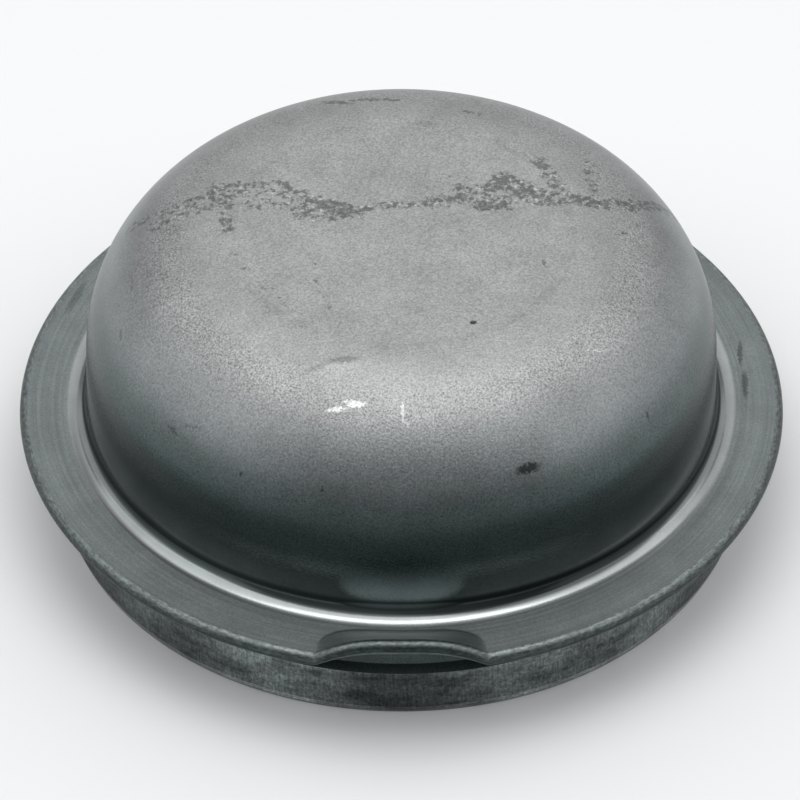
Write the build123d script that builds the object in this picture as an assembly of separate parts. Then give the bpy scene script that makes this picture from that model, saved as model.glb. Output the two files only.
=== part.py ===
"""Press-in hub cap: one deep-drawn steel sheet with a flat-topped dome, a folded flange and a press-in skirt.

Millimetres, +Z up. The origin is on the cap's axis, at the skirt's bottom edge. The pry notch faces -Y.
"""
from build123d import *
from math import acos, asin, atan2, cos, degrees, radians, sin, sqrt, tan
import os

# Sheet and press fit
sheet = 0.95                # wall after drawing, from 1 mm sheet
press_diameter = 90.2       # outside of the skirt's land, for a 90 mm hub bore
skirt_length = 11.8         # flange underside to the skirt's bottom edge
land_height = 5.8           # straight, sized band of the skirt
lead_in_height = 1.4        # taper below the land
lead_in_inset = 0.5         # how far that taper draws in
neck_depth = 1.0            # rolled relief between the land and the flange
shoulder_angle = 45.0       # degrees, from upright, where the neck meets the land

# Folded flange
flange_overhang = 4.9       # beyond the skirt's land, to the outside of the fold
base_bend = 2.25            # inside radius between the dome's wall and the flange

# Dome
dome_step = 3.85            # from the skirt's land in to the foot of the dome's wall
dome_draft = 1.6            # degrees, wall from upright
wall_length = 7.9           # straight wall between the base bend and the knuckle
knuckle_radius = 19.0       # from the wall over to the flat top

# Pry notch, pressed up out of the flange
notch_width = 22.2
notch_angle = 32.0          # degrees, lip from level at its middle
crease_gap = 0.4            # level strip left between the base bend and the crease
notch_end_reach = 2.2       # from the rim in to the crease, where the lip runs out
lip_section_count = 13      # sections that the lip is lofted through, the middle one among them

# Edges
edge_round = 0.3            # on the skirt's corners

# Radii and heights that follow
land_r = press_diameter / 2
neck_r = land_r - neck_depth
flange_r = land_r + flange_overhang
rim_centre_r = flange_r - sheet
dome_r = land_r - dome_step
flange_thickness = 2 * sheet
seat_z = skirt_length
flange_z = seat_z + flange_thickness
ridge_z = lead_in_height + land_height

# Dome's arc centres, shared by the outer and the inner face of the sheet
draft = radians(dome_draft)
bend_centre = Vector(dome_r + base_bend * (1 - sin(draft)) / cos(draft), flange_z + base_bend)
wall_foot = bend_centre - base_bend * Vector(cos(draft), sin(draft))
wall_top = wall_foot + wall_length * Vector(-sin(draft), cos(draft))
knuckle_centre = wall_top - knuckle_radius * Vector(cos(draft), sin(draft))

# Notch in plan: the crease is straight along the middle and swings out towards the rim at both ends
notch_reach = flange_r - bend_centre.X - crease_gap
split_r = bend_centre.X + crease_gap / 2
notch_turn = degrees(asin(notch_width / 2 / flange_r))
lip_lift = (notch_reach - sheet) * sin(radians(notch_angle))


def dome_line(inset, bend_end):
    """Flat top, knuckle, wall and base bend, set in by a wall thickness; bend_end is the bend's last angle."""
    knuckle = CenterArc(knuckle_centre, knuckle_radius - inset, 90, dome_draft - 90)
    top = Line((0, knuckle_centre.Y + knuckle_radius - inset), knuckle @ 0)
    bend_start = 180 + dome_draft
    bend = CenterArc(bend_centre, base_bend + inset, bend_start, bend_end - bend_start)
    wall = Line(knuckle @ 1, bend @ 0)
    return [top, knuckle, wall, bend]


def skirt_points(inset):
    """Corners of the neck, its shoulder, the land and the lead-in, set in by a wall thickness."""
    shoulder_height = neck_depth / tan(radians(shoulder_angle))
    shoulder_drop = inset * tan(radians(shoulder_angle / 2))
    lead_in_angle = atan2(lead_in_inset, lead_in_height)
    lead_in_rise = inset * tan(lead_in_angle / 2)
    return [
        (neck_r - inset, ridge_z + shoulder_height - shoulder_drop),
        (land_r - inset, ridge_z - shoulder_drop),
        (land_r - inset, lead_in_height + lead_in_rise),
        (land_r - lead_in_inset - inset / cos(lead_in_angle), 0),
    ]


def turned(edges):
    """A solid turned about the axis from the edges of its half section."""
    return revolve(Plane.XZ * make_face(edges), Axis.Z)


def blank():
    """The cap's outside as a solid, with the flange level all round."""
    dome = dome_line(0, 270)
    rim = CenterArc((rim_centre_r, flange_z - sheet), sheet, 90, -180)
    top = Line(dome[-1] @ 1, rim @ 0)
    skirt = FilletPolyline((neck_r, seat_z), *skirt_points(0), (0, 0), radius=edge_round)
    under = Line(rim @ 1, skirt @ 0)
    axis = Line(skirt @ 1, dome[0] @ 0)
    return turned(dome + [top, rim, under, skirt, axis])


def cavity():
    """The room inside the sheet, open at the bottom."""
    neck_inside = neck_r - sheet
    bend_end = 180 + degrees(acos((bend_centre.X - neck_inside) / (base_bend + sheet)))
    dome = dome_line(sheet, bend_end)
    corners = skirt_points(sheet)
    mouth = corners[-1][0]
    below = -sheet
    skirt = Polyline(dome[-1] @ 1, *corners, (mouth, below), (0, below))
    axis = Line(skirt @ 1, dome[0] @ 0)
    return turned(dome + [skirt, axis])


def lip_section(share):
    """Section of the folded flange at a share of the notch's half width: level to the crease, then tilted up."""
    turn = radians(-90 + share * notch_turn)
    plane = Plane((0, 0, 0), x_dir=(cos(turn), sin(turn), 0), z_dir=(sin(turn), -cos(turn), 0))
    reach = notch_end_reach + (notch_reach - notch_end_reach) * sqrt(1 - share ** 4)
    lift = lip_lift * (1 - abs(share) ** 3)
    slope = reach - sheet
    tilt = asin(lift / slope)
    along = Vector(cos(tilt), sin(tilt))
    across = Vector(sin(tilt), -cos(tilt))
    crease = Vector(flange_r - reach, flange_z)
    inner_crease = crease + Vector(flange_thickness * tan(tilt / 2), -flange_thickness)
    fold_top = crease + along * slope
    fold_tip = fold_top + (across + along) * sheet
    fold_under = fold_top + across * flange_thickness
    buried_r = split_r - sheet
    level_top = Line((buried_r, flange_z), crease)
    tilted_top = Line(crease, fold_top)
    fold = ThreePointArc(fold_top, fold_tip, fold_under)
    tilted_under = Line(fold_under, inner_crease)
    level_under = Line(inner_crease, (buried_r, seat_z))
    end = Line((buried_r, seat_z), (buried_r, flange_z))
    return plane * make_face([level_top, tilted_top, fold, tilted_under, level_under, end])


def lip():
    """The stretch of flange that is pressed up, lofted from end to end of the notch."""
    last = lip_section_count - 1
    stretch = loft([lip_section(2 * i / last - 1) for i in range(lip_section_count)])
    return stretch - Cylinder(split_r, 2 * flange_z)


def notch_room():
    """The level stretch of flange that the lip takes the place of."""
    tall = lip_lift + flange_thickness
    section = Pos((split_r + 2 * flange_r) / 2, seat_z + tall / 2) * Rectangle(2 * flange_r - split_r, tall)
    start = Rot(0, 0, -90 - notch_turn) * (Plane.XZ * section)
    return revolve(start, Axis.Z, 2 * notch_turn)


hub_cap = blank() - notch_room() + lip() - cavity()

os.makedirs("parts", exist_ok=True)
export_step(hub_cap, "parts/hub_cap.step")
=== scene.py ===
"""Press-in hub cap: the drawn steel sheet's finished surface and a plain studio, laid out as an add-on.

Lengths are in metres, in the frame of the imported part: +Z up, the pry notch towards -Y.
"""

import bpy
import numpy as np
from bpy.props import FloatProperty, FloatVectorProperty, PointerProperty
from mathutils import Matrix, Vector


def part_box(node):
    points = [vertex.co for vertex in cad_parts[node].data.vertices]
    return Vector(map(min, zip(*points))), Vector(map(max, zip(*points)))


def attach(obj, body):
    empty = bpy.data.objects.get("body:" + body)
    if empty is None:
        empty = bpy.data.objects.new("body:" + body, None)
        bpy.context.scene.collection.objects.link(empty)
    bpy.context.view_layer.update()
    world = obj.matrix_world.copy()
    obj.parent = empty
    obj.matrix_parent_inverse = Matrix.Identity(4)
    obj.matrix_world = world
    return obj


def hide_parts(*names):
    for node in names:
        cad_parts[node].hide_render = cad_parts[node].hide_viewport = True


bl_info = {
    "name": "Press-in hub cap",
    "version": (1, 0, 0),
    "blender": (4, 5, 0),
    "location": "3D View > Sidebar > Hub cap",
    "description": "Builds a drawn steel hub cap with its finish, and a plain studio round it",
    "category": "Object",
}

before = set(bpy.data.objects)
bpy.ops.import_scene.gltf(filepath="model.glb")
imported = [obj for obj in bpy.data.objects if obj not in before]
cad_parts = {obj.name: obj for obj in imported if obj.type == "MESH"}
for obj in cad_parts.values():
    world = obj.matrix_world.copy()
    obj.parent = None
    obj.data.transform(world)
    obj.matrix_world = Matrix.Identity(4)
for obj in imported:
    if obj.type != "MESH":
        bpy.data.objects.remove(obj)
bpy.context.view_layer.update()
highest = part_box("hub_cap")[1]

MM = 0.001


def linear(hex_colour):
    """Linear red, green and blue of an sRGB hex colour."""
    srgb = np.array([int(hex_colour[i:i + 2], 16) for i in (1, 3, 5)]) / 255
    return tuple(np.where(srgb <= 0.04045, srgb / 12.92, ((srgb + 0.055) / 1.055) ** 2.4))


def length(name, description, millimetres):
    """A length property, given in millimetres and held in metres."""
    return FloatProperty(name=name, description=description, default=millimetres * MM, unit="LENGTH",
                         precision=5)


def angle(name, description, degrees):
    """An angle property, given in degrees and held in radians."""
    return FloatProperty(name=name, description=description, default=np.radians(degrees), unit="ROTATION")


class CapSizes(bpy.types.PropertyGroup):
    """Sizes of the cap's sheet, the same as the solid's."""

    sheet: length("Sheet", "Thickness of the drawn wall", 0.95)
    land_radius: length("Land radius", "Outside of the skirt's press-fit land", 45.1)
    skirt_length: length("Skirt length", "From the flange's underside to the skirt's bottom edge", 11.8)
    land_height: length("Land height", "Straight band of the skirt", 5.8)
    lead_in_height: length("Lead-in height", "Taper below the land", 1.4)
    lead_in_inset: length("Lead-in inset", "How far the taper draws in", 0.5)
    neck_depth: length("Neck depth", "Rolled relief under the flange, with a 45 degree shoulder", 1.0)
    base_bend: length("Base bend", "Inside radius between the dome's wall and the flange", 2.25)
    dome_step: length("Dome step", "From the skirt's land in to the foot of the dome's wall", 3.85)
    knuckle_radius: length("Knuckle radius", "From the dome's wall over to its flat top", 19.0)
    dome_draft: angle("Dome draft", "Wall from upright", 1.6)
    notch_width: length("Notch width", "Pry notch, across the flange's rim", 22.2)
    notch_end_reach: length("Notch end reach", "From the rim in to the crease where the lip runs out", 2.2)
    crease_gap: length("Crease gap", "Level strip between the base bend and the crease", 0.4)
    crease_width: length("Crease width", "Width that the crease's bend takes up", 0.45)
    notch_angle: angle("Notch angle", "Lip from level at its middle", 32.0)
    edge_round: length("Edge round", "Rounding of the skirt's outer corners", 0.3)
    inner_round: length("Inner round", "Rounding of the skirt's inner corners", 0.2)
    root_round: length("Root round", "Rounding where the neck meets the flange", 0.12)


class SteelFinish(bpy.types.PropertyGroup):
    """Sizes of the patterns in the bare steel."""

    grain: length("Grain", "Size of the sheet's fine grain", 0.26)
    clouds: length("Clouds", "Size of the soft patches in the finish", 7.0)
    die_lines: length("Die lines", "Spacing of the turned lines on the flange", 0.45)
    draw_streaks: length("Draw streaks", "Width of the upright streaks on the skirt", 0.3)
    grime: length("Grime", "Size of the spots of grime on the skirt", 0.5)
    flecks: length("Flecks", "Width of the roughened flecks on the fold", 0.3)
    mottle: length("Mottle", "Size of the spots that the scuffed band breaks up into", 0.75)
    ragged_edge: length("Ragged edge", "How far the edge of a mark wanders", 0.9)
    relief: length("Relief", "Height of the grain", 0.06)
    punch_radius: length("Punch radius", "Faint ring where the flat top meets the knuckle", 21.9)
    punch_ring: length("Punch ring", "Half width of that ring", 0.6)


class StudioSetup(bpy.types.PropertyGroup):
    """Floor, lamps and camera."""

    floor: FloatVectorProperty(name="Floor", description="Colour of the floor", subtype="COLOR",
                               min=0, max=1, default=linear("#E2E2E2"))
    surround: FloatVectorProperty(name="Surround", description="Colour of the dim room around",
                                  subtype="COLOR", min=0, max=1, default=linear("#A0A2A4"))
    floor_half: length("Floor half", "Half of the floor's side", 2000)
    overhead: FloatProperty(name="Overhead", description="Radiance of the overhead softbox",
                            default=1.1, min=0)
    core: FloatProperty(name="Core", description="Radiance that the softbox's bright core adds",
                        default=1.45, min=0)
    walls: FloatProperty(name="Walls", description="Radiance of the white wall behind",
                         default=0.68, min=0)
    camera_distance: length("Camera distance", "From the flange's centre", 900)
    camera_elevation: angle("Camera elevation", "Above the horizon", 42.2)
    focal: FloatProperty(name="Focal length", description="Of the lens, in millimetres", default=309.1, min=1)
    shift: FloatVectorProperty(name="Shift", description="Of the picture, as a share of its width", size=2,
                               default=(-0.00175, -0.00325), precision=5)


# Lamps, each: name, width and height, place, which of the studio's radiances, times
LAMPS = (
    ("overhead_softbox", (1.1, 0.54), (0, -0.01, 0.36), "overhead", 1.0),
    ("softbox_core", (0.24, 0.18), (0, -0.02, 0.35), "core", 1.0),
    ("back_wall", (1.2, 0.8), (0, 0.75, 0.4), "walls", 1.0),
    ("left_wall", (1.5, 0.5), (-0.75, 0.05, 0.27), "walls", 0.9),
    ("right_wall", (1.5, 0.5), (0.75, 0.05, 0.27), "walls", 0.9),
)


# Finish and painted shade along the crown: millimetres along the sheet from the top's middle, colour,
# roughness, grain. The top is bare and bright. Below the knuckle the colour is painted dark down the drawn
# wall, painted shade for the dark surroundings that it reflects, and lighter again at the wall's foot, where
# the lip shows in it.
CROWN = (
    (0.0, "#989898", 0.46, 1.0),
    (22.0, "#989898", 0.46, 1.0),
    (27.0, "#929292", 0.45, 1.1),
    (30.0, "#909090", 0.43, 2.0),
    (32.0, "#909090", 0.42, 2.0),
    (35.0, "#868888", 0.40, 1.3),
    (38.6, "#888C8D", 0.38, 1.0),
    (40.7, "#84898A", 0.36, 1.0),
    (43.0, "#6A7171", 0.34, 1.0),
    (45.0, "#4F5858", 0.31, 1.1),
    (47.5, "#333C3C", 0.29, 1.3),
    (49.3, "#242C2C", 0.28, 1.4),
    (51.3, "#252D2D", 0.25, 1.3),
    (53.3, "#2D3636", 0.20, 1.0),
    (54.6, "#566060", 0.16, 0.8),
    (57.0, "#6F7777", 0.13, 0.5),
    (60.0, "#7B8282", 0.13, 0.3),
)

# Millimetres to either side over which the crown's finish and painted shade are averaged, and at how many
# places
CROWN_BLUR = 1.0
CROWN_SAMPLES = 9

# Finish and painted light of each other stretch of the section: its first and last colour, first and last
# roughness, grain
FINISH_AND_SHADE = {
    # bend_in: painted shade below the bend's highlight; bend: lighter towards the flange, a painted highlight
    "bend_in": ("#4D5555", "#5D6565", 0.15, 0.17, 0.1),
    "bend": ("#8B9090", "#ABAEAE", 0.17, 0.24, 0.1),
    "flange": ("#7E8484", "#767C7C", 0.58, 0.60, 0.6),
    # fold darkens outwards and fold_low is darker, painted shade under the rim; fold_edge: a painted glint
    "fold": ("#7C8282", "#4A5151", 0.36, 0.38, 0.4),
    "fold_low": ("#3D4545", "#2C3333", 0.40, 0.40, 0.5),
    "fold_edge": ("#5C6363", "#6A7171", 0.40, 0.40, 0.5),
    # under, neck and ledge: painted dark, painted shade in the recess under the flange
    "under": ("#4F5656", "#464D4D", 0.50, 0.50, 1.0),
    "neck": ("#4D5656", "#474F4F", 0.50, 0.50, 1.0),
    "ledge": ("#262D2D", "#394141", 0.45, 0.40, 1.0),
    # ridge: lighter at the skirt's top, fading into the land, a painted highlight
    "ridge": ("#7C8383", "#6A7171", 0.42, 0.42, 1.0),
    "land": ("#6A7171", "#6E7575", 0.42, 0.42, 1.0),
    # lead_in: lighter than the land, a painted highlight on the skirt's lower taper
    "lead_in": ("#8A9090", "#A0A5A5", 0.38, 0.38, 1.0),
    "edge": ("#7B8080", "#7B8080", 0.35, 0.35, 1.0),
    "inside": ("#757979", "#808383", 0.45, 0.45, 1.0),
}

# Stretches of the section that share a pattern
BEND = ("bend_in", "bend")
FOLD = ("fold", "fold_low", "fold_edge")
SKIRT = ("ridge", "land", "lead_in")

# Points along each line and arc of the section; of the bend's, the first bend_in have the darker colour of
# painted shade
ROWS = {
    "top": 36,
    "knuckle": 47,
    "wall": 14,
    "bend": 15,
    "bend_in": 7,
    "flange": 24,
    "fold": 8,
    "fold_low": 5,
    "fold_edge": 5,
    "under": 12,
    "root": 4,
    "neck": 5,
    "ledge_top": 5,
    "ledge": 4,
    "ridge": 6,
    "land": 8,
    "taper_top": 4,
    "lead_in": 4,
    "edge": 5,
    "inner_corner": 4,
    "inner_bend": 12,
    "inner_wall": 4,
    "inner_knuckle": 16,
    "inner_top": 10,
}

# Columns round the axis: those over the notch, how far past its ends they reach, and the rest
NOTCH_COLUMNS = 101
NOTCH_MARGIN = 1.15
OTHER_COLUMNS = 280

# Shares of the flange's rows, from the base bend out: where the crease lies, the half width of the painted
# shade along it, over how much the lip's finish and painted highlight come up, and the middle and half width
# of the painted shade in the strip along the lip's fold
CREASE_SHARE = 0.42
CREASE_HALF_WIDTH = 0.04
LIP_RUN_UP = 0.06
LIP_SHADE_MIDDLE = 0.86
LIP_SHADE_HALF_WIDTH = 0.2

# Degrees of tilt at which the lip's finish, painted highlight and painted shade count in full, and how much
# less rough it is than the flange's
LIP_TILT = 3.0
LIP_POLISH = 0.22

# Stretches round the axis that are darker or lighter, each: degrees from the notch's middle, half width in
# degrees, reflectance times. They are painted light and shade: a painted highlight at the base bend's front
# and painted shade at its sides, painted shade on the fold's sides, a painted reflection on the dome's cheeks
# below the knuckle and painted shade on the sides and back of its wall; last, darker and lighter stretches of
# the skirt.
BEND_PAINTED_LIGHT = (
    (0, 40, 1.3),
    (75, 35, 0.75),
    (-75, 35, 0.7),
)
FOLD_PAINTED_SHADE = (
    (80, 45, 0.7),
    (-80, 45, 0.7),
)
CHEEK_PAINTED_REFLECTION = (
    (54, 22, 1.5),
    (-54, 22, 1.4),
)
WALL_PAINTED_SHADE = (
    (95, 70, 0.42),
    (-95, 70, 0.42),
    (180, 40, 0.4),
    (-180, 40, 0.4),
)
# Darker and lighter stretches round the skirt
SKIRT_DARK_AND_LIGHT = (
    (-1, 12, 0.35),
    (-20, 9, 1.35),
    (-38, 7, 0.6),
    (-62, 12, 0.7),
    (22, 10, 1.12),
    (44, 8, 1.15),
    (64, 12, 0.7),
)

# Millimetres along the sheet: the cheeks' middle and half width, where the wall's painted shade starts and
# its run
CHEEK_MIDDLE = 46.8
CHEEK_HALF_WIDTH = 1.9
WALL_START = 51.5
WALL_RUN = 2.0

# Sides of the notch where the base bend's painted highlight lies elsewhere: middle and half width in degrees
BEND_RIGHT = (30, 26)
BEND_LEFT = (-52, 32)

# Shares of the base bend's rows, from the wall out: where its painted highlight opens, how much later on the
# right, over how much it opens, and where it starts to close on the left and over how much
BEND_OPENS = 0.38
BEND_OPENS_LATER = 0.22
BEND_OPENING = 0.08
BEND_CLOSES = 0.8
BEND_CLOSING = 0.1

# Reflectance times of the painted shade before the highlight opens, how much less on the right, and the share
# lost where it closes
BEND_BEFORE = 0.55
BEND_BEFORE_LESS = 0.27
BEND_CLOSED_LOSS = 0.45

# How much a scuff of strength 1 adds to the noise that its stains follow, and to that of its bared spots
STAIN_SPREAD = 0.34
BARED_SPREAD = 0.2

# The bump's strength for a grain of 1
RELIEF_STRENGTH = 0.5

# Scuffed band over the crown, as strokes in plan in millimetres: from x, y to x, y, half width, strength
SCUFFS = (
    (-34.5, 8.0, -30.0, 6.2, 1.5, 0.75),
    (-30.0, 6.4, -24.0, 7.4, 1.7, 0.85),
    (-32.0, 4.4, -24.0, 5.4, 1.2, 0.75),
    (-24.0, 8.6, -15.5, 9.0, 1.9, 0.85),
    (-22.6, 7.0, -22.6, 0.9, 1.2, 0.9),
    (-24.4, 0.6, -21.6, 0.6, 0.5, 1.0),
    (-20.0, 5.6, -12.0, 5.2, 1.7, 0.7),
    (-31.0, 4.0, -28.5, 1.6, 1.0, 0.65),
    (-16.0, 8.6, -11.0, 5.8, 2.0, 0.85),
    (-13.0, 4.2, -6.2, 3.8, 2.2, 0.85),
    (-9.9, 5.3, -7.4, 4.7, 1.5, 1.3),
    (-6.2, 4.3, -1.0, 5.5, 0.9, 0.95),
    (-1.0, 5.5, 4.5, 5.7, 0.7, 0.95),
    (4.0, 6.0, 9.0, 7.4, 1.7, 0.9),
    (8.0, 7.8, 16.0, 8.0, 2.6, 0.85),
    (10.0, 5.4, 13.5, 5.2, 1.3, 1.15),
    (13.0, 10.4, 18.0, 6.8, 2.0, 1.1),
    (18.0, 6.2, 21.5, 5.7, 1.0, 0.85),
    (21.0, 6.6, 26.0, 6.3, 1.5, 1.1),
    (25.5, 6.6, 30.0, 7.6, 1.3, 0.95),
    (29.0, 7.1, 36.0, 13.6, 1.3, 0.95),
    (17.8, 14.4, 20.8, 8.0, 1.3, 0.95),
    (24.6, 15.0, 24.8, 9.0, 1.2, 0.75),
    (4.0, 9.4, 11.0, 11.2, 2.0, 0.5),
    (-10.4, 28.2, -7.0, 27.2, 0.8, 1.05),
    (-6.2, 28.1, -0.8, 27.7, 0.8, 1.05),
    (8.4, 24.6, 10.0, 24.2, 0.7, 0.95),
    (-11.4, -5.0, -10.4, -11.0, 0.5, 0.55),
    (-10.4, -11.0, -7.6, -18.6, 0.5, 0.55),
    (-21.5, -4.5, -12.0, -18.0, 1.2, 0.45),
)

# Single marks, in plan in millimetres: x, y, half length, half width, turn in degrees, reflectance times
MARKS = (
    (15.9, -34.7, 1.6, 0.32, 24, 0.25),
    (9.1, -17.4, 0.4, 0.35, 0, 0.15),
    (-8.2, -30.7, 1.3, 0.25, 0, 2.0),
    (-5.6, -30.4, 1.1, 0.4, 0, 2.1),
    (-6.4, -29.9, 0.8, 0.2, 0, 1.8),
    (0.1, -31.2, 0.25, 0.8, 0, 1.6),
    (0.6, -32.6, 0.2, 0.7, 35, 1.4),
    (24.6, -19.8, 1.4, 0.1, 22, 1.5),
    (-7.2, -24.2, 2.0, 0.5, 4, 0.66),
    (-10.8, -25.2, 1.8, 0.35, 18, 0.8),
    (-28.9, -26.1, 0.12, 1.2, 40, 0.6),
    (-26.6, -27.2, 0.9, 0.1, -35, 0.65),
    (-25.6, -27.8, 0.5, 0.1, -35, 0.65),
    (-20.2, -33.6, 0.16, 0.16, 0, 0.4),
    (-9.9, -37.5, 0.16, 0.16, 0, 0.4),
    (-35.9, -10.7, 0.12, 0.7, 0, 0.6),
    (-34.6, -4.2, 0.1, 1.6, 0, 0.75),
    (28.6, 1.2, 0.35, 0.2, 0, 0.45),
    (18.2, -6.1, 0.18, 0.8, 20, 0.6),
    (31.2, -23.3, 0.16, 0.3, 0, 0.5),
    (44.7, 8.6, 0.3, 2.2, 0, 0.5),
    (45.1, 2.6, 0.4, 2.4, 0, 0.5),
    (-43.3, 20.0, 0.5, 3.2, -20, 0.65),
)

# Where a mark starts to fade and where it ends, in its half lengths, and its half height in metres, so large
# that only the plan counts
MARK_EDGE = (0.7, 1.3)
MARK_HEIGHT = 10.0

# Shallow dents in the crown, in plan in millimetres: x, y, half length, half width, turn in degrees, depth
DENTS = (
    (-8.6, -24.6, 3.6, 1.0, 8, 0.16),
    (20.5, -25.0, 2.2, 1.4, -30, 0.05),
)


def bend_radius(s):
    """Radius where the base bend, which touches the drafted wall, runs out into the flange."""
    foot_r = s.land_radius - s.dome_step
    return foot_r + s.base_bend * (1 - np.sin(s.dome_draft)) / np.cos(s.dome_draft)


def flange_height(s):
    """Height of the flange's top: the skirt and two thicknesses of sheet."""
    return s.skirt_length + 2 * s.sheet


def half_turn(s):
    """Angle from the notch's middle to its end, on the rim."""
    return np.arcsin(s.notch_width / 2 / highest.x)


def arc(centre, radius, start, end, count):
    """Points along a circular arc, its first and last angle in radians."""
    angles = np.linspace(start, end, count)
    return centre + radius * np.stack([np.cos(angles), np.sin(angles)], 1)


def line(start, end, count):
    """Points along a straight line."""
    return np.linspace(np.asarray(start, float), np.asarray(end, float), count)


def corner(before, point, after, radius, count):
    """Points round a corner: the arc of that radius that touches both of its sides."""
    side_a = (before - point) / np.linalg.norm(before - point)
    side_b = (after - point) / np.linalg.norm(after - point)
    half = np.arccos(side_a @ side_b) / 2
    middle = (side_a + side_b) / np.linalg.norm(side_a + side_b)
    centre = point + middle * radius / np.sin(half)
    touch = radius / np.tan(half)
    sweep = np.pi - 2 * half
    share = np.linspace(0, 1, count)[:, None]
    from_a = (point + side_a * touch - centre) * np.sin((1 - share) * sweep)
    from_b = (point + side_b * touch - centre) * np.sin(share * sweep)
    return centre + (from_a + from_b) / np.sin(sweep)


def skirt_corners(s, inset):
    """Corners of the neck, its 45 degree shoulder, the land and the lead-in, at a depth into the sheet."""
    shoulder = np.radians(45)
    taper = np.arctan2(s.lead_in_inset, s.lead_in_height)
    ridge = s.lead_in_height + s.land_height
    drop = inset * np.tan(shoulder / 2)
    return np.array([
        (s.land_radius - s.neck_depth - inset, ridge + s.neck_depth - drop),
        (s.land_radius - inset, ridge - drop),
        (s.land_radius - inset, s.lead_in_height + inset * np.tan(taper / 2)),
        (s.land_radius - s.lead_in_inset - inset / np.cos(taper), 0),
    ])


def section(s):
    """The sheet's half section, from the top's middle outside, round the skirt's edge, to the middle inside.

    Gives the stretches in order, each a name of its finish and its points as radius and height. The flange's
    two faces are given as level and are pressed up at the notch afterwards.
    """
    flange_z = flange_height(s)
    neck_r = s.land_radius - s.neck_depth
    draft = s.dome_draft
    quarter = np.pi / 2

    # Dome: the base bend's and the knuckle's centres, and the straight wall between them
    lean = np.array([np.cos(draft), np.sin(draft)])
    bend_centre = np.array([bend_radius(s), flange_z + s.base_bend])
    foot = bend_centre - s.base_bend * lean
    knuckle_z = highest.z - s.knuckle_radius
    rise = (knuckle_z - foot[1]) / np.cos(draft) + s.knuckle_radius * np.tan(draft)
    head = foot + rise * np.array([-np.sin(draft), np.cos(draft)])
    knuckle_centre = head - s.knuckle_radius * lean
    inner_knuckle_r = s.knuckle_radius - s.sheet
    inner_bend_r = s.base_bend + s.sheet
    inner_bend_end = np.pi + np.arccos((bend_centre[0] - neck_r + s.sheet) / inner_bend_r)
    top_edge = knuckle_centre + (0, s.knuckle_radius)
    apex = np.array([0, highest.z])
    down = np.array([0, s.sheet])
    bend = arc(bend_centre, s.base_bend, np.pi + draft, 3 * quarter, ROWS["bend"])
    inner_bend = arc(bend_centre, inner_bend_r, inner_bend_end, np.pi + draft, ROWS["inner_bend"])

    # Fold and skirt, with their corners rounded
    rim_centre = np.array([highest.x - s.sheet, flange_z - s.sheet])
    rim_under = np.array([rim_centre[0], s.skirt_length])
    root = np.array([neck_r, s.skirt_length])
    outer = skirt_corners(s, 0)
    inner = skirt_corners(s, s.sheet)[::-1]
    root_arc = corner(rim_under, root, outer[0], s.root_round, ROWS["root"])
    ledge_top = corner(root, outer[0], outer[1], s.edge_round, ROWS["ledge_top"])
    ridge = corner(outer[0], outer[1], outer[2], s.edge_round, ROWS["ridge"])
    taper_top = corner(outer[1], outer[2], outer[3], s.edge_round, ROWS["taper_top"])
    edge_out = corner(outer[2], outer[3], inner[0], s.edge_round, ROWS["edge"])
    edge_in = corner(outer[3], inner[0], inner[1], s.inner_round, ROWS["edge"])
    inside_line = [*inner, inner_bend[0]]
    inside_corners = [
        corner(*inside_line[i:i + 3], s.inner_round, ROWS["inner_corner"])
        for i in range(len(inside_line) - 2)
    ]
    land = line(ridge[-1], taper_top[0], ROWS["land"])[1:-1]
    ridge_in, ridge_out = np.split(ridge, 2)
    taper_in, taper_out = np.split(taper_top, 2)
    return [
        ("crown", np.concatenate([
            line(apex, top_edge, ROWS["top"])[1:-1],
            arc(knuckle_centre, s.knuckle_radius, quarter, draft, ROWS["knuckle"]),
            line(head, foot, ROWS["wall"])[1:-1],
        ])),
        ("bend_in", bend[:ROWS["bend_in"]]),
        ("bend", bend[ROWS["bend_in"]:]),
        ("flange", line((bend_centre[0], flange_z), (rim_centre[0], flange_z), ROWS["flange"])[1:-1]),
        ("fold", arc(rim_centre, s.sheet, quarter, 0, ROWS["fold"])[:-1]),
        ("fold_low", arc(rim_centre, s.sheet, 0, -quarter / 2, ROWS["fold_low"])[:-1]),
        ("fold_edge", arc(rim_centre, s.sheet, -quarter / 2, -quarter, ROWS["fold_edge"])),
        ("under", line(rim_under, root_arc[0], ROWS["under"])[1:-1]),
        ("neck", np.concatenate([
            root_arc, line(root_arc[-1], ledge_top[0], ROWS["neck"])[1:-1], ledge_top[:-1],
        ])),
        ("ledge", np.concatenate([
            ledge_top[-1:], line(ledge_top[-1], ridge[0], ROWS["ledge"])[1:-1], ridge_in,
        ])),
        ("ridge", np.concatenate([ridge_out, land[:1]])),
        ("land", np.concatenate([land[1:], taper_in])),
        ("lead_in", np.concatenate([taper_out, line(taper_top[-1], edge_out[0], ROWS["lead_in"])[1:-1]])),
        ("edge", np.concatenate([edge_out, edge_in])),
        ("inside", np.concatenate([
            *inside_corners,
            inner_bend,
            line(foot, head, ROWS["inner_wall"])[1:-1] - s.sheet * lean,
            arc(knuckle_centre, inner_knuckle_r, draft, quarter, ROWS["inner_knuckle"]),
            line(top_edge - down, apex - down, ROWS["inner_top"])[1:-1],
        ])),
    ]


def columns(s):
    """Angles round the axis, closer together over the notch than elsewhere."""
    reach = half_turn(s) * NOTCH_MARGIN
    near = np.linspace(-reach, reach, NOTCH_COLUMNS)
    far = np.linspace(reach, 2 * np.pi - reach, OTHER_COLUMNS + 2)[1:-1]
    return np.concatenate([near, far]) - np.pi / 2


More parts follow.
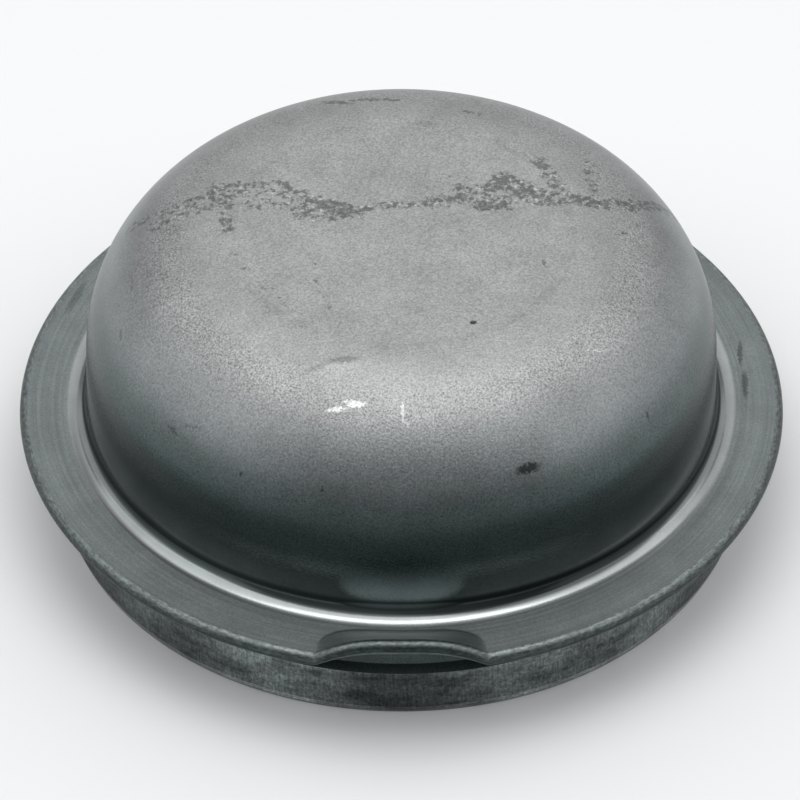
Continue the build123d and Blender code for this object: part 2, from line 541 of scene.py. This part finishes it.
def notch(s, turn):
    """Radius of the crease and tilt of the pressed-up lip, at each turn from the notch's middle.

    With u the share of the notch's half width, the crease lies in from the rim by end + (middle - end) times
    the root of 1 - u^4, and the lip's top stands up by its middle lift times 1 - |u|^3. Past the notch
    nothing is lifted.
    """
    u = np.clip(turn / half_turn(s), -1, 1)
    middle_reach = highest.x - bend_radius(s) - s.crease_gap
    reach = s.notch_end_reach + (middle_reach - s.notch_end_reach) * np.sqrt(1 - u ** 4)
    lift = (middle_reach - s.sheet) * np.sin(s.notch_angle) * (1 - np.abs(u) ** 3)
    tilt = np.arcsin(lift / (reach - s.sheet))
    return highest.x - reach, tilt


def lip_layers(s, rings, names, turn):
    """Where the painted shade of the notch's crease, the lip's painted highlight and the painted shade of the
    strip along its fold lie on the flange's top.

    The crease and the strip are bells over the share of the flange's rows, and the lip is a ramp. All three
    fade out with the lip's tilt.
    """
    _, tilt = notch(s, turn)
    bend_r = bend_radius(s)
    share = (rings[:, :1] - bend_r) / (highest.x - s.sheet - bend_r)
    here = (names == "flange")[:, None] * np.clip(tilt / np.radians(LIP_TILT), 0, 1)
    strip = np.exp(-((share - LIP_SHADE_MIDDLE) / LIP_SHADE_HALF_WIDTH) ** 2)
    return {
        "crease": np.exp(-((share - CREASE_SHARE) / CREASE_HALF_WIDTH) ** 2) * here,
        "lip": np.clip((share - CREASE_SHARE) / LIP_RUN_UP, 0, 1) * here,
        "lip_shade": strip * here * (tilt / s.notch_angle) ** 2,
    }


def pressed_flange(s, rings, names, turn):
    """Radius and height of every ring at every angle, with the flange pressed up along the notch's crease.

    The flange's top runs level to the crease, through a short arc, then straight at the tilt, and the fold
    turns with it. The underside runs level to a mitre that lies further out by the thickness times
    tan(tilt / 2).
    """
    r = np.repeat(rings[:, :1], len(turn), 1)
    z = np.repeat(rings[:, 1:], len(turn), 1)
    crease, tilt = notch(s, turn)
    bend_r = bend_radius(s)
    rim_r = highest.x - s.sheet
    flange_z = flange_height(s)
    split = CREASE_SHARE
    top, under = names == "flange", names == "under"

    share = ((rings[top, 0] - bend_r) / (rim_r - bend_r))[:, None]
    r[top] = np.where(share < split, bend_r + (crease - bend_r) * share / split,
                      crease + (rim_r - crease) * (share - split) / (1 - split))
    depth = flange_z - z
    beyond = np.maximum(r - crease + s.crease_width / 2, 0)
    curl = np.minimum(beyond, s.crease_width)
    straight = np.maximum(beyond - s.crease_width, 0)
    bent = tilt * curl / s.crease_width
    level = np.minimum(r, crease - s.crease_width / 2)
    line_r = level + curl * np.sinc(bent / np.pi) + straight * np.cos(tilt)
    line_z = flange_z + curl * np.sin(bent / 2) * np.sinc(bent / (2 * np.pi)) + straight * np.sin(tilt)
    lifted = (top | np.isin(names, FOLD))[:, None]
    new_r = np.where(lifted, line_r + depth * np.sin(bent), r)
    new_z = np.where(lifted, line_z - depth * np.cos(bent), z)

    neck_r = rings[under, 0].min()
    mitre = 2 * s.sheet * np.tan(tilt / 2)
    run = rim_r - crease + mitre
    share = ((rings[under, 0] - neck_r) / (rim_r - neck_r))[:, None]
    tilted = np.maximum(share - split, 0) / (1 - split) * run
    new_r[under] = neck_r + (crease + mitre - neck_r) * np.minimum(share / split, 1) + tilted * np.cos(tilt)
    new_z[under] = s.skirt_length + tilted * np.sin(tilt)
    return new_r, new_z


def turned_offsets(points, x, y, degrees):
    """Offsets in plan from a place in millimetres, along and across a direction."""
    dx = points[..., 0] - x * MM
    dy = points[..., 1] - y * MM
    cosine, sine = np.cos(np.radians(degrees)), np.sin(np.radians(degrees))
    return dx * cosine + dy * sine, dy * cosine - dx * sine


def dented(points, rings, outside):
    """The points with each dent pressed in: its depth times a bell over its length and width."""
    along = np.gradient(rings, axis=0)
    face = np.stack([-along[:, 1], along[:, 0]], 1)
    face = face / np.linalg.norm(face, axis=1)[:, None]
    radial = points[..., :2] / np.linalg.norm(points[..., :2], axis=2)[..., None]
    upright = np.repeat(face[:, None, 1:], points.shape[1], 1)
    inwards = np.concatenate([radial * face[:, None, :1], upright], 2)
    for x, y, half_length, half_width, degrees, depth in DENTS:
        a, b = turned_offsets(points, x, y, degrees)
        bell = np.exp(-(a / half_length / MM) ** 2 - (b / half_width / MM) ** 2) * outside[:, None]
        points = points + inwards * (bell * depth * MM)[..., None]
    return points


def scuffing(points, outside):
    """How scuffed each point is: the strongest stroke there, each a flat bell across its line."""
    best = np.zeros(points.shape[:2])
    for x0, y0, x1, y1, half_width, strength in SCUFFS:
        start = np.array([x0, y0]) * MM
        run = np.array([x1, y1]) * MM - start
        offset = points[..., :2] - start
        share = np.clip(offset @ run / (run @ run), 0, 1)
        away = np.linalg.norm(offset - share[..., None] * run, axis=2)
        best = np.maximum(best, strength * np.exp(-(away / half_width / MM) ** 4))
    return best * outside[:, None]


def round_the_axis(turn, stretches):
    """Reflectance times at each turn: 1, changed by a bell over the turn for each of the stretches."""
    times = np.ones_like(turn)
    for middle, half_width, factor in stretches:
        times = times + (factor - 1) * np.exp(-((np.degrees(turn) - middle) / half_width) ** 2)
    return times


def side_share(turn, side):
    """How much each turn belongs to a side: exp(-x^4), with x the distance from its middle in half widths."""
    middle, half_width = np.radians(side)
    return np.exp(-((turn - middle) / half_width) ** 4)


def bend_shading(ring_count, turn):
    """Painted light on the base bend: reflectance times for each ring from the wall out and each turn from
    the notch.

    It is the bend's painted highlight round the axis times a window along the bend, painted shade before the
    window opens. To the notch's right the window opens later, and to its left it starts to close before the
    flange.
    """
    share = np.linspace(0, 1, ring_count)[:, None]
    right = side_share(turn, BEND_RIGHT)
    left = side_share(turn, BEND_LEFT)
    opened = np.clip((share - BEND_OPENS - BEND_OPENS_LATER * right) / BEND_OPENING, 0, 1)
    closed = np.clip((share - BEND_CLOSES) / BEND_CLOSING, 0, 1) * left
    before = BEND_BEFORE - BEND_BEFORE_LESS * right
    window = (before + (1 - before) * opened) * (1 - BEND_CLOSED_LOSS * closed)
    return round_the_axis(turn, BEND_PAINTED_LIGHT) * window


def sheet_length(crown):
    """Millimetres along the sheet from the top's middle to each of the crown's rings."""
    steps = np.diff(crown, axis=0, prepend=[[0, crown[0, 1]]])
    return np.cumsum(np.linalg.norm(steps, axis=1)) / MM


def crown_shading(crown, turn):
    """Painted light on the crown: a painted reflection in a bell below the knuckle, then painted shade on the
    wall.
    """
    along = sheet_length(crown)[:, None]
    cheek = np.exp(-((along - CHEEK_MIDDLE) / CHEEK_HALF_WIDTH) ** 2)
    wall = np.clip((along - WALL_START) / WALL_RUN, 0, 1)
    times = 1 + cheek * (round_the_axis(turn, CHEEK_PAINTED_REFLECTION) - 1)
    return times * (1 + wall * (round_the_axis(turn, WALL_PAINTED_SHADE) - 1))


def finish_and_shading(stretches):
    """Colour, with its painted light and shade, roughness and grain of every ring, as columns.

    Along the crown they are the CROWN table's at the length of sheet from the top's middle, each as the mean
    over CROWN_BLUR to either side. Along any other stretch they run straight from its start to its end.
    """
    along = sheet_length(stretches[0][1])
    table = np.array([(place, *linear(colour), dull, grain) for place, colour, dull, grain in CROWN])
    near = along[:, None] + np.linspace(-CROWN_BLUR, CROWN_BLUR, CROWN_SAMPLES)
    rows = [np.stack([np.interp(near, table[:, 0], values).mean(1) for values in table.T[1:]], 1)]
    for name, points in stretches[1:]:
        start, end, dull, end_dull, grain = FINISH_AND_SHADE[name]
        rows.append(np.linspace((*linear(start), dull, grain), (*linear(end), end_dull, grain), len(points)))
    return np.concatenate(rows)


def finish_and_shade_layers(s, points, rings, names, turn, finish):
    """What steers the steel's material, painted light and shade among it, on every ring at every turn, by
    name.
    """
    outside = (names != "inside").astype(float)
    along = {
        "dullness": finish[:, 3],
        "grain": finish[:, 4],
        "outside": outside,
        "flange": (names == "flange").astype(float),
        "fold": np.isin(names, FOLD).astype(float),
        "skirt": np.isin(names, SKIRT).astype(float),
    }
    layers = {name: np.repeat(values[:, None], len(turn), 1) for name, values in along.items()}
    layers["scuff"] = scuffing(points, outside)
    on_bend = np.isin(names, BEND)
    on_crown = names == "crown"
    shading = np.ones(points.shape[:2])
    shading[np.isin(names, SKIRT)] = round_the_axis(turn, SKIRT_DARK_AND_LIGHT)
    shading[np.isin(names, FOLD)] = round_the_axis(turn, FOLD_PAINTED_SHADE)
    shading[on_bend] = bend_shading(on_bend.sum(), turn)
    shading[on_crown] = crown_shading(rings[on_crown], turn)
    layers["shading"] = shading
    layers.update(lip_layers(s, rings, names, turn))
    layers["dullness"] = layers["dullness"] - LIP_POLISH * layers["lip"]
    return layers


def closed_faces(ring_count, column_count):
    """Quads between neighbouring rings and columns, and a fan of triangles round the point at each pole."""
    index = np.arange(ring_count * column_count).reshape(ring_count, column_count)
    beside = np.roll(index, -1, 1)
    quads = np.stack([index[:-1], index[1:], beside[1:], beside[:-1]], 2).reshape(-1, 4)
    pole = np.full(column_count, index.size)
    fans = np.concatenate([
        np.stack([pole, index[0], beside[0]], 1),
        np.stack([pole + 1, beside[-1], index[-1]], 1),
    ])
    return quads.tolist() + fans.tolist()


def cap_surface(s):
    """The whole sheet as one closed surface: its half section carried round the axis, a point at each pole.

    Point (v, t) is (r cos t, r sin t, z), where r and z are the section's at v, changed at the notch.
    Gives the points, the faces, the layers that steer the material and each point's colour.
    """
    stretches = section(s)
    rings = np.concatenate([points for _, points in stretches])
    names = np.concatenate([[name] * len(points) for name, points in stretches])
    angles = columns(s)
    turn = (angles + 1.5 * np.pi) % (2 * np.pi) - np.pi
    r, z = pressed_flange(s, rings, names, turn)
    points = np.stack([r * np.cos(angles), r * np.sin(angles), z], 2)
    points = dented(points, rings, names != "inside")
    poles = [(0, 0, highest.z), (0, 0, highest.z - s.sheet)]
    vertices = np.concatenate([points.reshape(-1, 3), poles])
    finish = finish_and_shading(stretches)
    layers = finish_and_shade_layers(s, points, rings, names, turn, finish)
    opaque = np.insert(finish[:, :3], 3, 1, 1)
    colours = np.repeat(opaque[:, None], len(angles), 1)
    return vertices, closed_faces(*r.shape), layers, colours


def with_poles(values):
    """A value for every point: the rings' own, then the first and the last ring's for the two poles."""
    return np.concatenate([values.reshape(-1, *values.shape[2:]), values[0, :1], values[-1, :1]])


def new_mesh_object(name, vertices, faces):
    """A smooth-shaded mesh object at the origin."""
    mesh = bpy.data.meshes.new(name)
    mesh.from_pydata(vertices, [], faces)
    mesh.shade_smooth()
    mesh.update()
    piece = bpy.data.objects.new(name, mesh)
    bpy.context.scene.collection.objects.link(piece)
    return piece


def add(tree, kind, inputs, output=0, **settings):
    """Adds a node with its settings and inputs, each a value or a socket to link from. Gives one output."""
    made = tree.nodes.new(kind)
    for name, value in settings.items():
        setattr(made, name, value)
    for socket, value in inputs.items():
        if isinstance(value, bpy.types.NodeSocket):
            tree.links.new(value, made.inputs[socket])
        else:
            made.inputs[socket].default_value = value
    return made.outputs[output]


def steel_patterns(tree, f, place, rim_place):
    """Noise for each of the steel's patterns, by name, at its size. A stretch under 1 draws it out."""
    pattern = {}
    for name, source, stretch, size, detail in (
        ("grain", place, (1, 1, 1), f.grain, 3),
        ("clouds", place, (1, 1, 1), f.clouds, 4),
        ("die_lines", rim_place, (1, 0.01, 0), f.die_lines, 2),
        ("streaks", place, (1, 1, 0.14), f.draw_streaks, 3),
        ("grime", place, (1, 1, 1), f.grime, 4),
        ("patches", place, (0.35, 0.35, 1), f.grime * 5, 4),
        ("flecks", rim_place, (1, 0.4, 1), f.flecks, 3),
        ("mottle", place, (1, 1, 1), f.mottle, 5),
        ("bared", place, (1.1, 1.1, 1.1), f.mottle, 4),
        ("ragged", place, (1, 1, 1), f.mottle / 2, 3),
    ):
        stretched = add(tree, "ShaderNodeVectorMath", {0: source, 1: stretch}, operation="MULTIPLY")
        pattern[name] = add(tree, "ShaderNodeTexNoise", {
            "Vector": stretched, "Scale": 1 / size, "Detail": detail, "Roughness": 0.6,
        })
    return pattern


def mark_changes(tree, f, place, noise, where):
    """A change for each single mark: an ellipse in plan, with its edge pushed about by the noise's colour."""
    centred = add(tree, "ShaderNodeVectorMath", {0: noise, 1: (0.5, 0.5, 0.5)}, operation="SUBTRACT")
    push = (f.ragged_edge, f.ragged_edge, 0)
    pushed = add(tree, "ShaderNodeVectorMath", {0: centred, 1: push, 2: place}, operation="MULTIPLY_ADD")
    changes = []
    for x, y, half_length, half_width, degrees, times in MARKS:
        within = add(tree, "ShaderNodeMapping", {
            "Vector": pushed,
            "Location": (x * MM, y * MM, 0),
            "Rotation": (0, 0, np.radians(degrees)),
            "Scale": (half_length * MM, half_width * MM, MARK_HEIGHT),
        }, vector_type="TEXTURE")
        away = add(tree, "ShaderNodeVectorMath", {0: within}, "Value", operation="LENGTH")
        changes.append((where, away, *MARK_EDGE, times, 1.0))
    return changes


def drawn_steel(f, layer_names):
    """Bare deep-drawn mild steel.

    To the eye: a satin grey with a fine grain and soft clouds, turned lines where the die held the flange,
    upright streaks where the skirt was drawn, roughened flecks on the fold, and a scuffed, oil-stained band
    over the crown. The steel's own grain is finer than a pixel, so it is drawn coarser here.
    """
    material = bpy.data.materials.new("bare_drawn_steel")
    material.use_nodes = True
    tree = material.node_tree
    shader = tree.nodes["Principled BSDF"]
    layer = {name: add(tree, "ShaderNodeAttribute", {}, "Fac", attribute_name=name) for name in layer_names}
    # The colour of each ring, with its painted light and shade
    finish = add(tree, "ShaderNodeAttribute", {}, "Color", attribute_name="finish")
    place = add(tree, "ShaderNodeTexCoord", {}, "Object")
    axes = add(tree, "ShaderNodeSeparateXYZ", {0: place}).node.outputs
    plan = add(tree, "ShaderNodeVectorMath", {0: place, 1: (1, 1, 0)}, operation="MULTIPLY")
    radius = add(tree, "ShaderNodeVectorMath", {0: plan}, "Value", operation="LENGTH")
    forwards = add(tree, "ShaderNodeMath", {0: axes[1], 1: -1.0}, operation="MULTIPLY")
    turn = add(tree, "ShaderNodeMath", {0: axes[0], 1: forwards}, operation="ARCTAN2")
    round_rim = add(tree, "ShaderNodeMath", {0: turn, 1: highest.x}, operation="MULTIPLY")
    rim_place = add(tree, "ShaderNodeCombineXYZ", {0: radius, 1: round_rim, 2: axes[2]})
    pattern = steel_patterns(tree, f, place, rim_place)
    stained = add(tree, "ShaderNodeMath", {0: layer["scuff"], 1: STAIN_SPREAD, 2: pattern["mottle"]},
                  operation="MULTIPLY_ADD")
    bared = add(tree, "ShaderNodeMath", {0: layer["scuff"], 1: BARED_SPREAD, 2: pattern["bared"]},
                operation="MULTIPLY_ADD")
    punch = add(tree, "ShaderNodeMath", {0: radius, 1: f.punch_radius, 2: f.punch_ring}, operation="COMPARE")
    punch_line = add(tree, "ShaderNodeMath", {0: punch, 1: layer["outside"]}, operation="MULTIPLY")

    # Each change: where it counts, what it follows, from and to which value, and reflectance times there
    changes = [
        (layer["grain"], pattern["grain"], 0.3, 0.7, 0.7, 1.3),
        (1.0, pattern["clouds"], 0.3, 0.7, 0.9, 1.1),
        (layer["flange"], pattern["die_lines"], 0.35, 0.65, 0.88, 1.1),
        (layer["skirt"], pattern["streaks"], 0.34, 0.66, 0.76, 1.24),
        (layer["skirt"], pattern["grime"], 0.34, 0.66, 0.68, 1.32),
        (layer["skirt"], pattern["patches"], 0.36, 0.62, 0.5, 1.35),
        # Painted light and shade on the bend, fold and crown from the shading layer; the skirt's darker and
        # lighter stretches
        (1.0, layer["shading"], 0.0, 2.0, 0.0, 2.0),
        (layer["fold"], pattern["flecks"], 0.36, 0.68, 0.66, 1.4),
        (1.0, stained, 0.72, 0.86, 1.0, 0.45),
        (1.0, bared, 0.74, 0.80, 1.0, 1.5),
        (punch_line, pattern["clouds"], 0.35, 0.6, 0.9, 1.0),
        # Painted shade along the notch's crease, a painted highlight on the lip, painted shade in the strip
        # along its fold
        (1.0, layer["crease"], 0.0, 1.0, 1.0, 0.45),
        (1.0, layer["lip"], 0.0, 1.0, 1.0, 1.7),
        (1.0, layer["lip_shade"], 0.0, 1.0, 1.0, 0.5),
        *mark_changes(tree, f, place, pattern["ragged"].node.outputs["Color"], layer["outside"]),
    ]
    tone = 1.0
    for where, value, low, high, at_low, at_high in changes:
        times = add(tree, "ShaderNodeMapRange", {
            "Value": value, "From Min": low, "From Max": high, "To Min": at_low, "To Max": at_high,
        })
        share = add(tree, "ShaderNodeMix", {"Factor": where, "A": 1.0, "B": times}, clamp_factor=False)
        tone = add(tree, "ShaderNodeMath", {0: tone, 1: share}, operation="MULTIPLY")
    colour = add(tree, "ShaderNodeVectorMath", {0: finish, "Scale": tone}, operation="SCALE")
    uneven = add(tree, "ShaderNodeMapRange", {
        "Value": pattern["grain"], "From Min": 0.3, "From Max": 0.7, "To Min": -0.05, "To Max": 0.05,
    })
    dullness = add(tree, "ShaderNodeMath", {0: uneven, 1: layer["grain"], 2: layer["dullness"]},
                   operation="MULTIPLY_ADD")
    strength = add(tree, "ShaderNodeMath", {0: layer["grain"], 1: RELIEF_STRENGTH}, operation="MULTIPLY")
    bump = add(tree, "ShaderNodeBump", {
        "Strength": strength, "Distance": f.relief, "Height": pattern["grain"],
    })
    tree.links.new(colour, shader.inputs["Base Color"])
    tree.links.new(dullness, shader.inputs["Roughness"])
    tree.links.new(bump, shader.inputs["Normal"])
    shader.inputs["Metallic"].default_value = 1.0
    return material


def plain_material(name, colour, roughness):
    """A plain matt paint for the studio floor."""
    material = bpy.data.materials.new(name)
    material.use_nodes = True
    shader = material.node_tree.nodes["Principled BSDF"]
    shader.inputs["Base Color"].default_value = (*colour, 1)
    shader.inputs["Roughness"].default_value = roughness
    shader.inputs["Specular IOR Level"].default_value = 0.0
    return material


class HUBCAP_OT_cap(bpy.types.Operator):
    """Builds the cap's sheet with its finish, in place of the solid"""

    bl_idname = "hubcap.cap"
    bl_label = "Build the cap"

    def execute(self, context):
        vertices, faces, layers, colours = cap_surface(context.scene.hubcap_sizes)
        piece = new_mesh_object("cap_sheet", vertices, faces)
        for name, values in layers.items():
            attribute = piece.data.attributes.new(name, "FLOAT", "POINT")
            attribute.data.foreach_set("value", with_poles(values).ravel())
        attribute = piece.data.attributes.new("finish", "FLOAT_COLOR", "POINT")
        attribute.data.foreach_set("color", with_poles(colours).ravel())
        piece.data.materials.append(drawn_steel(context.scene.hubcap_finish, list(layers)))
        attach(piece, "root")
        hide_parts("hub_cap")
        return {"FINISHED"}


class HUBCAP_OT_stage(bpy.types.Operator):
    """Builds the floor, the lamps and the camera"""

    bl_idname = "hubcap.stage"
    bl_label = "Build the studio"

    def execute(self, context):
        studio = context.scene.hubcap_studio
        context.scene.view_settings.view_transform = "Standard"
        half = studio.floor_half
        corners = [(-half, -half, 0), (half, -half, 0), (half, half, 0), (-half, half, 0)]
        floor = new_mesh_object("floor", corners, [(0, 1, 2, 3)])
        floor.data.materials.append(plain_material("matt_white_paint", studio.floor, roughness=0.9))

        world = bpy.data.worlds.new("dim_room")
        world.use_nodes = True
        world.node_tree.nodes["Background"].inputs["Color"].default_value = (*studio.surround, 1)
        context.scene.world = world

        target = Vector((0, 0, flange_height(context.scene.hubcap_sizes)))
        for name, size, place, radiance, times in LAMPS:
            lamp = bpy.data.lights.new(name, "AREA")
            lamp.shape = "RECTANGLE"
            lamp.size, lamp.size_y = size
            lamp.energy = getattr(studio, radiance) * times * np.pi * size[0] * size[1]
            lamp_object = bpy.data.objects.new(name, lamp)
            lamp_object.location = place
            lamp_object.rotation_mode = "QUATERNION"
            lamp_object.rotation_quaternion = (target - Vector(place)).to_track_quat("-Z", "Y")
            context.scene.collection.objects.link(lamp_object)

        camera = bpy.data.cameras.new("camera")
        camera.sensor_fit = "HORIZONTAL"
        camera.sensor_width = 36
        camera.lens = studio.focal
        camera.shift_x, camera.shift_y = studio.shift
        camera_object = bpy.data.objects.new("camera", camera)
        back = Vector((0, -np.cos(studio.camera_elevation), np.sin(studio.camera_elevation)))
        camera_object.location = target + back * studio.camera_distance
        camera_object.rotation_mode = "QUATERNION"
        camera_object.rotation_quaternion = (-back).to_track_quat("-Z", "Y")
        context.scene.collection.objects.link(camera_object)
        context.scene.camera = camera_object
        return {"FINISHED"}


class HUBCAP_PT_panel(bpy.types.Panel):
    """Lists the cap's sizes, its finish and the studio"""

    bl_idname = "HUBCAP_PT_panel"
    bl_label = "Hub cap"
    bl_space_type = "VIEW_3D"
    bl_region_type = "UI"
    bl_category = "Hub cap"

    def draw(self, context):
        for group, operator in (
            (context.scene.hubcap_sizes, HUBCAP_OT_cap),
            (context.scene.hubcap_finish, HUBCAP_OT_cap),
            (context.scene.hubcap_studio, HUBCAP_OT_stage),
        ):
            box = self.layout.box()
            for name in group.bl_rna.properties.keys():
                if name not in ("rna_type", "name"):
                    box.prop(group, name)
            box.operator(operator.bl_idname)


CLASSES = (CapSizes, SteelFinish, StudioSetup, HUBCAP_OT_cap, HUBCAP_OT_stage, HUBCAP_PT_panel)


def register():
    """Adds the classes and the scene's three groups of settings."""
    for entry in CLASSES:
        bpy.utils.register_class(entry)
    bpy.types.Scene.hubcap_sizes = PointerProperty(type=CapSizes)
    bpy.types.Scene.hubcap_finish = PointerProperty(type=SteelFinish)
    bpy.types.Scene.hubcap_studio = PointerProperty(type=StudioSetup)


def unregister():
    """Takes them away again."""
    del bpy.types.Scene.hubcap_studio
    del bpy.types.Scene.hubcap_finish
    del bpy.types.Scene.hubcap_sizes
    for entry in reversed(CLASSES):
        bpy.utils.unregister_class(entry)


def main():
    """Builds everything in order."""
    register()
    bpy.ops.hubcap.cap()
    bpy.ops.hubcap.stage()


if __name__ == "__main__":
    main()
